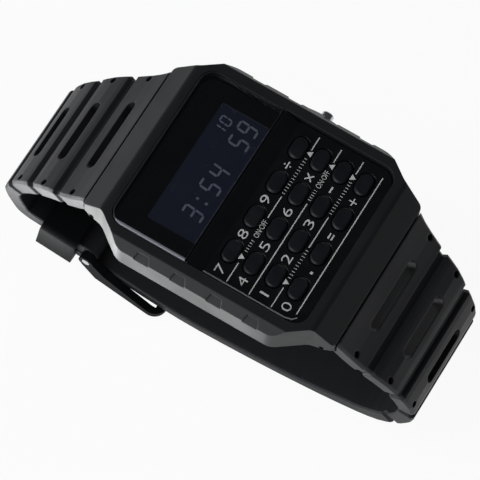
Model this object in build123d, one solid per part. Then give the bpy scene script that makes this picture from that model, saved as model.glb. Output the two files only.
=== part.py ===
from build123d import *
import os
from math import atan2, cos, pi, radians, sin

# Calculator watch, worn closed. All lengths are in millimetres.
# X points to 3 o'clock, Y to 12 o'clock and Z out of the face.
# The origin is the middle of the case back's outer face.

os.makedirs("parts", exist_ok=True)

# Case
case_length = 43.2
case_width = 34.6
case_height = 8.2
case_top_inset = 1.2
case_back_inset = 1.6
wall_low = 1.9
wall_high = 6.2
shoulder_end = 8.4
shoulder_length = 4.7
shoulder_inset = 3.5
lug_inset = 4.2
corner_round = 3.0
lug_end_round = 0.8
lens_rise = 0.25
edge_round = 0.4
slope_length = 3.5
knee_round = 1.2
lug_top_z = 4.2
lug_nose = 1.1
lug_nose_bulge = 0.4
lug_heel = 3.8
overrun = 5.0
tolerance = 0.001
guard_reach = 2.6
guard_rise = 0.5

# Side recesses
recess_pitch = 6.2
recess_width = 2.5
recess_top_width = 1.8
recess_depth = 0.25
recess_count = 4
recess_middle_y = -0.25
recess_length = 1.4

# Cavity, window and keypad
side_wall = 3.8
end_wall = 4.8
cavity_corner = 7.5
cavity_step_z = 3.4
cavity_upper_corner = 2.0
panel_ledge = 0.9
panel_corner = 2.4
panel_end = 5.2
lens_end = 5.0
lens_low_y = 3.3
lens_thickness = 1.3
plate_flat_y = 0.4
plate_bevel = 0.3
plate_thickness = 0.9
plate_drop = 1.0
plate_lip = 1.3
plate_lip_thickness = 0.5
fit_gap = 0.1
seat_gap = 0.02

# Keys
key_pitch_x = 6.49
key_pitch_y = 3.755
key_first_x = -8.94
key_first_y = -1.57
key_length = 3.8
key_breadth = 2.4
key_corner = 1.15
key_rise = 0.4
key_crown = 0.25
key_travel = 0.4
key_gap = 0.15
key_flange = 0.3
key_flange_thickness = 0.4
key_foot_length = 1.6
key_foot_breadth = 1.6
key_foot_drop = 0.5

# Module
board_thickness = 0.6
board_z = 2.9
lcd_width = 24.4
lcd_low_y = 1.6
lcd_high_y = 13.8
lcd_thickness = 1.2
zebra_width = 1.6
zebra_length = 22.4
battery_diameter = 20.0
battery_thickness = 1.6
battery_z = 0.95
battery_y = -4.0
clip_thickness = 0.2
clip_width = 4.0
chip_size = 5.0
chip_thickness = 1.0
chip_x = 4.0
chip_y = 11.0
crystal_diameter = 1.2
crystal_length = 6.0
crystal_x = -5.0
mat_base = 0.5
dome_radius = 0.8
dome_top_radius = 0.5
frame_wall = 0.9
buzzer_diameter = 9.0
buzzer_thickness = 0.2
buzzer_y = 11.4
contact_wire = 0.2
contact_radius = 0.8
contact_turns = 4

# Back
back_lip = 0.6
back_end_lip = 0.7
back_thickness = 0.7
back_corner = 4.0
gasket_thickness = 0.5
gasket_width = 0.3
screw_inset = 2.25
screw_shank = 1.0
screw_head = 1.9
screw_head_thickness = 0.4
screw_length = 3.2
screw_slot_width = 0.3
screw_slot_depth = 0.2

# Side pusher
pusher_y = -2.0
pusher_z = 3.4
pusher_diameter = 2.0
pusher_stem = 1.1
pusher_rise = 1.9
pusher_travel = 0.5
pusher_gap = 0.05
pusher_counterbore = 1.5
pusher_head = 2.6
pusher_inner_end = 0.2
spring_wire = 0.12
spring_radius = 0.78
spring_turns = 2
seal_wire = 0.38
seal_pocket = 0.5
clip_disc = 1.9
clip_disc_thickness = 0.25

# Lugs and spring bars
bar_inset = 1.8
bar_z = 2.3
bar_diameter = 1.5
bar_tip_diameter = 0.8
bar_tip_length = 1.2
bar_fit = 0.05
lug_gap = 18.2
lug_recess_radius = 1.6
hood_radius = 1.4
boss_radius = 1.2
side_gap = 0.2

# Straps
seam_gap = 0.2
strap_outer_z = 4.0
strap_thickness = 2.8
strap_end_thickness = 2.6
shoulder_depth = 2.8
slit_width = 0.4
slit_length = 2.2
tail_thickness = 2.2
strap_edge = 0.45
strap_width = 18.4
shoulder_flare = 6.6
waist_flare = 4.8
mid_flare = 2.6
narrow_flare = 1.0
slot_first = 4.4
slot_pitch = 7.8
slot_width = 2.0
slot_length_first = 12.8
slot_length_second = 11.2
slot_length_rest = 9.8
upper_slots = 4
lower_slots = 5
dimple_radius = 0.55
dimple_depth = 0.35
dimple_inset = 1.05
groove_width = 1.5
groove_depth = 0.6
groove_step = 0.4
groove_notch = 0.35
land_crown = 0.15
loop_reach = 38.0
loop_drop = 29.0
start_lean = 50.0
strap_straight = 10.5
tail_straight = 9.8
bend_stations = 7
back_stations = 14
nearest_steps = 400
tail_tip = 3.0

# Buckle, tongue and keeper
buckle_y = 22.4
buckle_z = -25.6
buckle_bar_diameter = 1.3
buckle_rail = 1.3
buckle_rail_height = 2.6
buckle_front = 1.6
buckle_length = 13.7
crank_along = 3.6
crank_out = 2.7
buckle_corner = 2.4
layer_gap = 0.3
tongue_width = 1.8
tongue_thickness = 1.0
tongue_ring = 1.25
tongue_gap = 0.25
tongue_dip = 0.2
tongue_over = 1.2
tongue_knee_share = 0.15
tongue_rise_share = 0.66
tongue_cross_share = 0.38
keeper_offset = 5.6
keeper_length = 6.4
keeper_wall = 1.1
keeper_gap = 0.35
tail_hole_length = 5.6
tail_hole_width = 2.2
tail_hole_pitch = 6.5
tail_holes_before = 2
tail_holes_after = 1
strap_lean = 7.5

# Places along the straps' outer lines, as shares of the loop's reach and drop
upper_shares = ((0.645, 0.019), (0.722, -0.072), (0.8, -0.169), (0.871, -0.276), (0.934, -0.39),
                (0.982, -0.514), (1.0, -0.631), (0.974, -0.755))
lower_shares = ((-0.647, 0.014), (-0.726, -0.079), (-0.806, -0.176), (-0.871, -0.293),
                (-0.916, -0.421), (-0.926, -0.552), (-0.892, -0.707), (-0.805, -0.841),
                (-0.671, -0.941), (-0.474, -1.007), (-0.237, -1.055), (0, -1.084),
                (0.211, -1.083), (0.395, -1.05))

# Places that follow from the sizes above
cavity_width = case_width - 2 * side_wall
cavity_length = case_length - 2 * end_wall
panel_width = cavity_width + 2 * panel_ledge
lens_high_y = case_length / 2 - lens_end
plate_low_y = panel_end - case_length / 2
back_width = cavity_width + 2 * back_lip
back_length = cavity_length + 2 * back_end_lip
screw_x = back_width / 2 - screw_inset
screw_y = back_length / 2 - screw_inset
bar_y = case_length / 2 - bar_inset
front_z = case_height
rim_z = case_height - lens_rise
plate_top = rim_z - plate_drop
plate_low = plate_top - plate_thickness
lens_low = front_z - lens_thickness
bore_floor = case_width / 2 - pusher_counterbore
seal_radius = pusher_stem / 2 + seat_gap + seal_wire / 2
key_foot_z = plate_low - fit_gap / 2 - key_flange_thickness - key_foot_drop
mat_top = key_foot_z - seat_gap
frame_top = key_foot_z - key_travel
board_top = board_z + board_thickness
lcd_top = plate_low - seat_gap
lcd_low = lcd_top - lcd_thickness
shoulder_width = strap_width + shoulder_flare
waist_width = strap_width + waist_flare
mid_width = strap_width + mid_flare
narrow_width = strap_width + narrow_flare
tail_out = strap_end_thickness / 2 + layer_gap + tail_thickness
front_out = tail_out + layer_gap + buckle_front / 2
start_y = case_length / 2 + seam_gap
lean_y = cos(radians(strap_lean))
lean_z = sin(radians(strap_lean))


def rounded(width, length, corner):
    """A rectangle about the origin with rounded corners."""
    return RectangleRounded(width, length, corner)


def block(x0, x1, y0, y1, z0, z1):
    """A box between two corners."""
    middle = ((x0 + x1) / 2, (y0 + y1) / 2, (z0 + z1) / 2)
    return Pos(*middle) * Box(x1 - x0, y1 - y0, z1 - z0)


def along_x(radius, length, y, z, x=0):
    """A cylinder lying along X, centred on x."""
    return Pos(x, y, z) * Rot(0, 90, 0) * Cylinder(radius, length)


def span_x(radius, x0, x1, y=None, z=None):
    """A cylinder along X between two places, on the side pusher's axis unless told otherwise."""
    y = pusher_y if y is None else y
    z = pusher_z if z is None else z
    return along_x(radius, x1 - x0, y, z, (x0 + x1) / 2)


def both_ends(piece):
    """A piece and its mirror image at the other end of the case."""
    return [piece, mirror(piece, Plane.XZ)]


def case_plan():
    """Outline of the case seen from the front, at its widest."""
    half = case_length / 2
    low, high = half - shoulder_end, half - shoulder_end + shoulder_length
    w = case_width / 2
    quarter = [(w, low), (w - shoulder_inset, high), (w - lug_inset, half)]
    corners = quarter + [(-x, y) for x, y in reversed(quarter)]
    corners += [(x, -y) for x, y in reversed(corners)]
    plan = make_face(Polyline(*corners, close=True))
    turned = [v for v in plan.vertices() if abs(v.Y) < half - tolerance]
    plan = fillet(turned, corner_round)
    ends = [v for v in plan.vertices() if abs(v.Y) > half - tolerance]
    return fillet(ends, lug_end_round)


def case_side():
    """Side view of the case, extruded later across X."""
    half = case_length / 2
    knee_y = half - slope_length
    top = Polyline((0, rim_z), (knee_y, rim_z), (half, lug_top_z), (half, bar_z))
    low = Polyline((bar_y, bar_z - lug_nose), (half - lug_heel, 0), (0, 0), (0, rim_z))
    arc = SagittaArc((half, bar_z), (bar_y, bar_z - lug_nose), -lug_nose_bulge)
    face = make_face(top + arc + low)
    knee = [v for v in face.vertices() if abs(v.X - knee_y) < tolerance]
    face = fillet(knee, knee_round)
    return face + mirror(face, Plane.YZ)


def case_front():
    """Front view of the case: upright walls that end in slanted bands."""
    slope = (rim_z - wall_high) / case_top_inset
    side, top = case_width / 2 + guard_rise, case_width / 2 - case_top_inset
    shape = [(side, 0), (side, wall_high - slope * guard_rise), (top, rim_z)]
    return make_face(Polyline(*shape, *[(-x, z) for x, z in reversed(shape)], close=True))


def case_blank():
    """Solid case before any pocket: walls, slanted bands, sloped ends and undercut."""
    plan = case_plan()
    blank = Pos(0, 0, wall_low) * extrude(plan, rim_z - wall_low) + pusher_guard()
    blank += loft([back_plan(), Pos(0, 0, wall_low) * plan])
    blank &= extrude(Plane.YZ * case_side(), case_width, both=True)
    return blank & extrude(Plane.XZ * case_front(), case_length, both=True)


def back_plan():
    """The plan drawn in on both sides only, so that the ends stay in line."""
    return scale(case_plan(), ((case_width - 2 * case_back_inset) / case_width, 1, 1))


def pusher_guard():
    """Low swelling of the 3 o'clock wall round the side pusher."""
    radius = (guard_reach ** 2 + guard_rise ** 2) / (2 * guard_rise)
    middle = case_width / 2 + guard_rise - radius
    swell = Pos(middle, pusher_y) * Circle(radius) & Pos(case_width / 2, pusher_y) * Rectangle(
        case_top_inset, 2 * guard_reach
    )
    return Pos(0, 0, wall_low) * extrude(swell, rim_z - wall_low)


def side_recesses():
    """Tools for the shallow recesses along the lower part of both slanted bands."""
    lean = atan2(case_top_inset, rim_z - wall_high) * 180 / pi
    w, t = recess_width / 2, recess_top_width / 2
    shape = make_face(Polyline((0, -w), (recess_length, -t), (recess_length, t), (0, w),
                               (-recess_length, w), (-recess_length, -w), close=True))
    tool = extrude(Plane.YZ * (Rot(0, 0, 90) * shape), recess_depth, both=True)
    tools = []
    for n in range(recess_count):
        y = recess_middle_y + (n - (recess_count - 1) / 2) * recess_pitch
        tools += [Pos(case_width / 2, y, wall_high) * Rot(0, -lean, 0) * tool]
        tools += [Pos(-case_width / 2, y, wall_high) * Rot(0, lean, 0) * tool]
    return tools


def lug_pocket():
    """The space between a pair of lugs, under the hood, for the strap's end."""
    y0 = bar_y - lug_recess_radius
    curve = along_x(lug_recess_radius, lug_gap, bar_y, bar_z)
    below = block(-lug_gap / 2, lug_gap / 2, y0, case_length, -overrun, bar_z)
    ahead = block(-lug_gap / 2, lug_gap / 2, bar_y, case_length, -overrun, bar_z + hood_radius)
    hole = along_x(bar_tip_diameter / 2 + bar_fit / 2, case_width + overrun, bar_y, bar_z)
    return curve + below + ahead + hole


def case_shell():
    """Outer case with its cavity, window seat, keypad seat, lugs and holes."""
    shell = case_blank()
    cavity = Pos(0, 0, -overrun) * extrude(
        rounded(cavity_width, cavity_length, cavity_corner), cavity_step_z + 2 * overrun
    )
    cavity += Pos(0, 0, cavity_step_z) * extrude(
        rounded(cavity_width, cavity_length, cavity_upper_corner), plate_low - cavity_step_z
    )
    y_mid, y_len = (lens_high_y + plate_low_y) / 2, lens_high_y - plate_low_y
    seat = Pos(0, y_mid, plate_low) * extrude(
        rounded(panel_width + 2 * fit_gap, y_len + 2 * fit_gap, panel_corner), overrun
    )
    back = Pos(0, 0, -overrun) * extrude(
        rounded(back_width + 2 * fit_gap, back_length + 2 * fit_gap, back_corner),
        overrun + back_thickness,
    )
    shell -= cavity & below_plate()
    shell -= seat
    shell += window_ledge()
    shell -= back
    shell -= gasket_groove()
    for tool in both_ends(lug_pocket()):
        shell -= tool
    for tool in side_recesses():
        shell -= tool
    for x in (-screw_x, screw_x):
        for y in (-screw_y, screw_y):
            shell -= Pos(x, y, 0) * Cylinder(screw_shank / 2, 2 * screw_length)
    shell -= pusher_bore()
    return shell


def below_plate():
    """Everything lower than the keypad plate's underside."""
    return block(-case_width, case_width, -case_length, case_length, -2 * overrun, plate_low)


def window_ledge():
    """Ledge round the window seat, which carries the lens on three sides."""
    y0 = lens_low_y + plate_lip + fit_gap
    y1 = lens_high_y + fit_gap
    height = lens_low - seat_gap - plate_low
    outer = Pos(0, (y0 + y1) / 2, plate_low) * Box(
        panel_width + 2 * fit_gap, y1 - y0, height, align=(Align.CENTER, Align.CENTER, Align.MIN)
    )
    inner = block(-cavity_width / 2, cavity_width / 2, y0 - overrun, cavity_length / 2 - frame_wall,
                  plate_low - overrun, front_z)
    return outer - inner


def gasket_groove():
    """Shallow groove above the back plate's rim, where the gasket lies."""
    outer = rounded(back_width - gasket_width, back_length - gasket_width, back_corner)
    inner = rounded(cavity_width, cavity_length, cavity_corner)
    ring = outer - inner
    return Pos(0, 0, back_thickness) * extrude(ring, gasket_thickness)


def pusher_bore():
    """Stepped bore for the side pusher, with a pocket for its seal."""
    x0 = cavity_width / 2
    stem = span_x(pusher_stem / 2 + pusher_gap, x0 - frame_wall, case_width / 2)
    head = span_x(pusher_diameter / 2 + pusher_gap, bore_floor, case_width / 2 + overrun)
    pocket = span_x(seal_radius + seal_wire / 2 + pusher_gap, x0 - frame_wall, x0 + seal_pocket)
    return stem + head + pocket


def display_lens():
    """Raised window with rounded outer corners and a bevelled rim."""
    y_mid, y_len = (lens_high_y + lens_low_y) / 2, lens_high_y - lens_low_y
    face = Rectangle(panel_width, y_len)
    far = [v for v in face.vertices() if v.Y > 0]
    face = fillet(far, panel_corner)
    lens = Pos(0, y_mid, lens_low) * extrude(face, lens_thickness)
    return chamfer(lens.faces().sort_by(Axis.Z)[-1].edges(), lens_rise / 2)


def plate_side():
    """Side view of the keypad plate, with its sloped upper end and lip."""
    lip_y = lens_low_y + plate_lip
    end_y = lens_low_y - fit_gap
    lip_z = plate_low + plate_lip_thickness
    return make_face(Polyline(
        (plate_low_y, plate_low), (lip_y, plate_low), (lip_y, lip_z), (end_y, lip_z),
        (end_y, rim_z), (end_y - plate_bevel, rim_z), (plate_flat_y, plate_top),
        (plate_low_y, plate_top), close=True,
    ))


def key_places():
    """Names and centres of the keys, row by row from the top."""
    names = ["7", "8", "9", "divide", "4", "5", "6", "times"]
    names += ["1", "2", "3", "minus", "0", "point", "equals", "plus"]
    spots = []
    for n, name in enumerate(names):
        x = key_first_x + (n % 4) * key_pitch_x
        y = key_first_y - (n // 4) * key_pitch_y
        spots += [(name, x, y)]
    return spots


def key_outline(grow=0):
    """Outline of one key, or of its hole when it is grown by the gap."""
    return rounded(key_length + 2 * grow, key_breadth + 2 * grow, key_corner + grow)


def flange_outline():
    """Outline of a key's flange, wider than the cap across the rows only."""
    return rounded(key_length, key_breadth + 2 * key_flange, key_corner)


def keypad_plate():
    """Glossy panel with a hole for each key."""
    plate = extrude(Plane.YZ * plate_side(), panel_width / 2, both=True)
    ends = plate.edges().filter_by(Axis.Z).group_by(Axis.Y)[0]
    plate = fillet(ends, panel_corner)
    holes = [
        Pos(x, y, plate_low) * extrude(key_outline(key_gap), 2 * plate_thickness)
        for _, x, y in key_places()
    ]
    return plate - holes


def key(x, y):
    """One key: crowned cap, flange that keeps it in, and a foot for the mat."""
    under = plate_low - fit_gap / 2
    cap_height = plate_top + key_rise - under
    cap = Pos(x, y, under) * extrude(key_outline(), cap_height)
    cap = chamfer(cap.faces().sort_by(Axis.Z)[-1].edges(), key_crown)
    flange = Pos(x, y, under - key_flange_thickness) * extrude(
        flange_outline(), key_flange_thickness
    )
    foot = block(
        x - key_foot_length / 2, x + key_foot_length / 2,
        y - key_foot_breadth / 2, y + key_foot_breadth / 2,
        under - key_flange_thickness - key_foot_drop, under - key_flange_thickness,
    )
    return cap + flange + foot


def key_mat():
    """Rubber sheet with a dome under each key."""
    places = key_places()
    x0, x1 = places[0][1], places[3][1]
    y0, y1 = places[-1][2], places[0][2]
    margin = dome_radius + seat_gap
    mat = block(x0 - margin, x1 + margin, y0 - margin, y1 + margin, board_top, board_top + mat_base)
    height = mat_top - board_top - mat_base
    for _, x, y in places:
        z = board_top + mat_base + height / 2
        mat += Pos(x, y, z) * Cone(dome_radius, dome_top_radius, height)
    return mat


def lcd_panel():
    """Liquid crystal glass: two plates, the lower one wider for its contacts."""
    ledge = zebra_width
    w = lcd_width / 2
    lower = block(-w, w, lcd_low_y, lcd_high_y, lcd_low, lcd_low + lcd_thickness / 2)
    upper = block(-w, w, lcd_low_y + ledge, lcd_high_y - ledge, lcd_low + lcd_thickness / 2, lcd_top)
    return lower + upper


def zebra_strips():
    """Two rubber connectors between the display's edges and the board."""
    w = zebra_length / 2
    z0, z1 = board_top, lcd_low
    y = (lcd_low_y, lcd_high_y - zebra_width)
    return [block(-w, w, a, a + zebra_width, z0, z1) for a in y]


def module_outline(drawn_in, corner):
    """The cavity's outline, drawn in by a wall or a fit."""
    w, l = cavity_width - 2 * drawn_in, cavity_length - 2 * drawn_in
    return rounded(w, l, corner - drawn_in)


def circuit_board():
    """Board, cut to the module's outline inside the frame's wall."""
    shape = module_outline(fit_gap + frame_wall + fit_gap, cavity_corner)
    return Pos(0, 0, board_z) * extrude(shape, board_thickness)


def module_frame():
    """Plastic frame that holds board, display, mat and cell."""
    base = back_thickness + gasket_thickness / 2
    step = cavity_step_z + seat_gap
    frame = Pos(0, 0, base) * extrude(module_outline(fit_gap, cavity_corner), step - base)
    frame += Pos(0, 0, step) * extrude(module_outline(fit_gap, cavity_upper_corner), frame_top - step)
    inside = module_outline(fit_gap + frame_wall, cavity_corner)
    frame -= Pos(0, 0, board_z - seat_gap) * extrude(inside, case_height)
    upper = module_outline(fit_gap + frame_wall, cavity_upper_corner)
    frame -= Pos(0, 0, board_top + seat_gap) * extrude(upper, case_height)
    frame -= Pos(0, battery_y, 0) * Cylinder(battery_diameter / 2 + fit_gap, 2 * board_z + overrun)
    frame -= Pos(0, buzzer_y, 0) * Cylinder(buzzer_diameter / 2 + fit_gap, 2 * board_z + overrun)
    inner_end = cavity_width / 2 - clip_disc_thickness - pusher_inner_end
    frame -= span_x(clip_disc / 2 + fit_gap, inner_end - pusher_travel - fit_gap, cavity_width / 2)
    return frame


def battery():
    """Coin cell: can with a raised, smaller cap on its under side."""
    can_share = 0.75
    rim = battery_thickness * can_share
    cap = battery_thickness - rim
    can = Pos(0, battery_y, battery_z + cap + rim / 2) * Cylinder(battery_diameter / 2, rim)
    face = Pos(0, battery_y, battery_z + cap / 2) * Cylinder(battery_diameter / 2 - cap, cap)
    return can + face


def battery_clip():
    """Spring strip between cell and board, bent down at its ends."""
    z = battery_z + battery_thickness + seat_gap
    strip = block(-clip_width / 2, clip_width / 2, battery_y - battery_diameter / 3,
                  battery_y + battery_diameter / 3, z, z + clip_thickness)
    return strip


def controller_chip():
    """Chip under a round blob, on the board's upper side beneath the display."""
    return Pos(chip_x, chip_y - zebra_width, board_top + chip_thickness / 2) * Box(
        chip_size, chip_size, chip_thickness
    )


def quartz_crystal():
    """Small metal can lying on the board."""
    r = crystal_diameter / 2
    return along_x(r, crystal_length, chip_y - zebra_width, board_top + r, crystal_x)


def buzzer_disc():
    """Piezo disc stuck to the inside of the back."""
    z = back_thickness + buzzer_thickness / 2
    return Pos(0, buzzer_y, z) * Cylinder(buzzer_diameter / 2, buzzer_thickness)


def coil(wire, radius, pitch, turns):
    """A round wire wound on a helix that starts at the origin and climbs."""
    path = Helix(pitch=pitch, height=pitch * turns, radius=radius)
    start = Plane(origin=path @ 0, z_dir=path % 0)
    return sweep(start * Circle(wire / 2), path=path, is_frenet=True)


def buzzer_spring():
    """Coil that carries the buzzer's signal from the board to the disc."""
    z0 = back_thickness + buzzer_thickness + contact_wire / 2
    z1 = board_z - contact_wire / 2
    pitch = (z1 - z0) / contact_turns
    return Pos(0, buzzer_y, z0) * coil(contact_wire, contact_radius, pitch, contact_turns)


def screw_seats(radius, depth, z):
    """Cylinders at the four screw places."""
    return [
        Pos(x, y, z) * Cylinder(radius, depth)
        for x in (-screw_x, screw_x) for y in (-screw_y, screw_y)
    ]


def case_back():
    """Flat steel plate with sunk seats for four screws."""
    plate = extrude(rounded(back_width, back_length, back_corner), back_thickness)
    plate -= screw_seats(screw_shank / 2 + fit_gap, overrun, 0)
    plate -= screw_seats(screw_head / 2 + fit_gap, 2 * screw_head_thickness, 0)
    return plate


def back_gasket():
    """Rubber ring in the groove above the plate's rim."""
    grow = back_width - gasket_width - 2 * fit_gap
    long = back_length - gasket_width - 2 * fit_gap
    ring = rounded(grow, long, back_corner - fit_gap) - rounded(
        cavity_width + fit_gap, cavity_length + fit_gap, cavity_corner
    )
    body = Pos(0, 0, back_thickness) * extrude(ring, gasket_thickness - fit_gap)
    return body - screw_seats(screw_shank / 2 + fit_gap, overrun, 0)


def back_screws():
    """Four slotted screws, heads level with the back."""
    out = []
    for x in (-screw_x, screw_x):
        for y in (-screw_y, screw_y):
            head = Pos(x, y, screw_head_thickness / 2) * Cylinder(screw_head / 2, screw_head_thickness)
            shank = Pos(x, y, screw_length / 2) * Cylinder(screw_shank / 2, screw_length)
            slot = Pos(x, y, 0) * Box(screw_head, screw_slot_width, 2 * screw_slot_depth)
            out += [head + shank - slot]
    return out


def mode_button():
    """Metal side pusher: domed head, stem and a groove for its clip."""
    x1 = case_width / 2 + pusher_rise
    x0 = x1 - pusher_head
    clip_x = cavity_width / 2 - clip_disc_thickness
    head = span_x(pusher_diameter / 2, x0, x1)
    head = chamfer(head.edges().sort_by(Axis.X)[-1], edge_round / 2)
    stem = span_x(pusher_stem / 2, clip_x - pusher_inner_end, x0)
    return head + stem - (clip_ring(pusher_gap) & stem)


def clip_ring(grow=0):
    """Disc of the clip at its place on the stem, less the stem's core."""
    x0 = cavity_width / 2 - clip_disc_thickness - pusher_gap
    core = span_x(pusher_stem / 4, x0 - overrun, x0 + overrun)
    return span_x(clip_disc / 2, x0 - grow, x0 + clip_disc_thickness + grow) - core


def button_clip():
    """Open clip in the stem's groove, which keeps the pusher in."""
    x0 = cavity_width / 2 - clip_disc_thickness - pusher_gap
    x1 = x0 + clip_disc_thickness
    mouth = block(x0 - fit_gap, x1 + fit_gap, pusher_y - pusher_stem / 4 + seat_gap,
                  pusher_y + pusher_stem / 4 - seat_gap, pusher_z - clip_disc, pusher_z)
    bore = span_x(pusher_stem / 4 + seat_gap, x0 - fit_gap, x1 + fit_gap)
    return span_x(clip_disc / 2, x0, x1) - bore - mouth


def button_spring():
    """Coil spring round the stem, between the bore's floor and the head."""
    x1 = case_width / 2 + pusher_rise - pusher_head
    length = x1 - bore_floor - spring_wire - 2 * seat_gap
    spring = coil(spring_wire, spring_radius, length / spring_turns, spring_turns)
    place = Pos(bore_floor + spring_wire / 2 + seat_gap, pusher_y, pusher_z)
    return place * Rot(0, 90, 0) * spring


def button_seal():
    """Rubber ring round the stem, in its pocket inside the wall."""
    x = cavity_width / 2 + seal_pocket / 2
    return Pos(x, pusher_y, pusher_z) * Rot(0, 90, 0) * Torus(seal_radius, seal_wire / 2)


def spring_bar(sign):
    """Lug bar with thinner tips that reach into the lugs."""
    body = along_x(bar_diameter / 2, lug_gap - 2 * seat_gap, sign * bar_y, bar_z)
    tips = along_x(bar_tip_diameter / 2, lug_gap + 2 * bar_tip_length, sign * bar_y, bar_z)
    return body + tips


def points_of(shares):
    """Places of a strap's outer line, from shares of the loop's reach and drop."""
    return [(a * loop_reach, b * loop_drop) for a, b in shares]


def beside_bar(out, along):
    """A place off the buckle bar: outwards from the strap, then along it."""
    return (buckle_y + out * lean_z + along * lean_y, buckle_z - out * lean_y + along * lean_z)


def upper_route():
    """Outer line of the strap half that carries the buckle, from case to bar."""
    out = strap_end_thickness / 2
    bend_end = beside_bar(out, strap_straight)
    points = [(start_y, strap_outer_z)] + points_of(upper_shares) + [bend_end]
    first = (cos(radians(start_lean)), -sin(radians(start_lean)))
    bend = Spline(*points, tangents=[first, (-lean_y, -lean_z)])
    return bend + Line(bend_end, beside_bar(out, 0))


def lower_route():
    """Outer line of the strap half with the holes, from case to tail tip."""
    join = beside_bar(tail_out, 0)
    points = [(-start_y, strap_outer_z)] + points_of(lower_shares) + [join]
    first = (-cos(radians(start_lean)), -sin(radians(start_lean)))
    bend = Spline(*points, tangents=[first, (lean_y, lean_z)])
    return bend + Line(join, beside_bar(tail_out, tail_straight))


class Route:
    """Positions and directions along a strap's outer line, by length."""

    def __init__(self, curve, turn):
        self.parts = curve.edges()
        self.turn = turn
        self.lengths = [e.length for e in self.parts]
        self.length = sum(self.lengths)

    def at(self, s):
        """Point, direction and inward normal at a length from the case."""
        s = min(max(s, 0), self.length)
        for edge, size in zip(self.parts, self.lengths):
            if s <= size + tolerance or edge is self.parts[-1]:
                p = edge.position_at(min(s, size), position_mode=PositionMode.LENGTH)
                d = edge.tangent_at(min(s, size), position_mode=PositionMode.LENGTH)
                return (p.X, p.Y), (d.X, d.Y), (self.turn * d.Y, -self.turn * d.X)
            s -= size

    def nearest(self, y, z):
        """Length at which the line passes closest to a place."""
        spots = evenly(0, self.length, nearest_steps)
        return min(spots, key=lambda s: (self.at(s)[0][0] - y) ** 2 + (self.at(s)[0][1] - z) ** 2)


def evenly(first, last, count):
    """Places from first to last in equal steps."""
    return [first + (last - first) * n / count for n in range(count + 1)]


def section(outer, inward, width, thickness):
    """One cross section of a strap: its outer edges are broken more than its inner."""
    w, c = width / 2, strap_edge
    shape = ((-w, c), (-w + c, 0), (w - c, 0), (w, c),
             (w, thickness - c / 2), (w - c / 2, thickness),
             (-w + c / 2, thickness), (-w, thickness - c / 2))
    points = [(x, outer[0] + inward[0] * d, outer[1] + inward[1] * d) for x, d in shape]
    return Wire(Polyline(*points, close=True).edges())


def blend(table, s):
    """Value at s from a table of (place, value) pairs, in straight steps."""
    for (a, u), (b, v) in zip(table, table[1:]):
        if s <= b:
            return u + (v - u) * max(s - a, 0) / (b - a)
    return table[-1][1]


def pattern(slots):
    """Stations of the grooved zone: (length, groove share) pairs."""
    out = []
    for n in range(slots):
        crest = slot_first + n * slot_pitch
        groove = crest + slot_pitch / 2
        out += [(crest - slot_width, 0.5), (crest, 1), (crest + slot_width, 0.5)]
        if n < slots - 1:
            out += [(groove - groove_width / 2 - groove_step / 2, 0)]
            out += [(groove - groove_width / 2 + groove_step / 2, -1)]
            out += [(groove + groove_width / 2 - groove_step / 2, -1)]
            out += [(groove + groove_width / 2 + groove_step / 2, 0)]
    return sorted(out)


def strap_body(route, slots, plain, thickness_end):
    """Lofted strap: raised lands, full-width grooves and a plain end."""
    widths = strap_widths(route, slots)
    depths = ((0, strap_thickness), (slot_first + slots * slot_pitch, strap_thickness),
              (slot_first + (slots + 1) * slot_pitch, thickness_end), (route.length, thickness_end))
    rings = []
    for s, mark in [(0, 0)] + pattern(slots) + [(s, 0) for s in plain]:
        outer, ahead, inward = route.at(s)
        raised = land_crown * max(mark, 0)
        sunk = groove_depth * max(-mark, 0)
        shift = sunk - raised
        outer = (outer[0] + inward[0] * shift, outer[1] + inward[1] * shift)
        width = blend(widths, s) - 2 * groove_notch * max(-mark, 0)
        depth = blend(depths, s) - shift
        if s == 0:
            inward, depth = (0, -1), shoulder_depth
        rings += [section(outer, inward, width, depth)]
    return Solid.make_loft(rings, True)


def strap_widths(route, slots):
    """Places along a strap half and its width there, narrowing away from the case."""
    grooves = [slot_first + (n + 1 / 2) * slot_pitch for n in range(3)]
    return ((0, shoulder_width), (grooves[0], waist_width), (grooves[1], mid_width),
            (grooves[2], narrow_width), (slot_first + slots * slot_pitch, strap_width),
            (route.length, strap_width))


def strap_slots(route, slots):
    """Tools for the through slots across a strap, with a dimple beyond each end."""
    tools = []
    lengths = [slot_length_first, slot_length_second] + [slot_length_rest] * slots
    for n in range(slots):
        (y, z), ahead, inward = route.at(slot_first + n * slot_pitch)
        plane = Plane(origin=(0, y, z), x_dir=(1, 0, 0), z_dir=(0, inward[0], inward[1]))
        tools += [extrude(plane * SlotOverall(lengths[n], slot_width), 2 * strap_thickness, both=True)]
        x = blend(strap_widths(route, slots), slot_first + n * slot_pitch) / 2 - dimple_inset
        tools += [extrude(plane * Pos(side * x, 0) * Circle(dimple_radius), dimple_depth, both=True)
                  for side in (-1, 1)]
    return tools


def strap_root(sign):
    """Boss round the lug bar and the web that joins it to the strap."""
    w = lug_gap / 2 - side_gap
    boss = along_x(boss_radius, 2 * w, sign * bar_y, bar_z)
    y0, y1 = sorted((sign * bar_y, sign * (start_y + seam_gap)))
    return boss + block(-w, w, y0, y1, bar_z - boss_radius, bar_z + boss_radius)


def shoulder_slits(sign):
    """Short slits at both edges of the seam, beside the lugs."""
    y = sign * (start_y + slit_width / 2)
    x = shoulder_width / 2 - slit_length / 2 + overrun / 2
    return [Pos(side * x, y, 0) * Box(slit_length + overrun, slit_width, 2 * case_height)
            for side in (-1, 1)]


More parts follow.
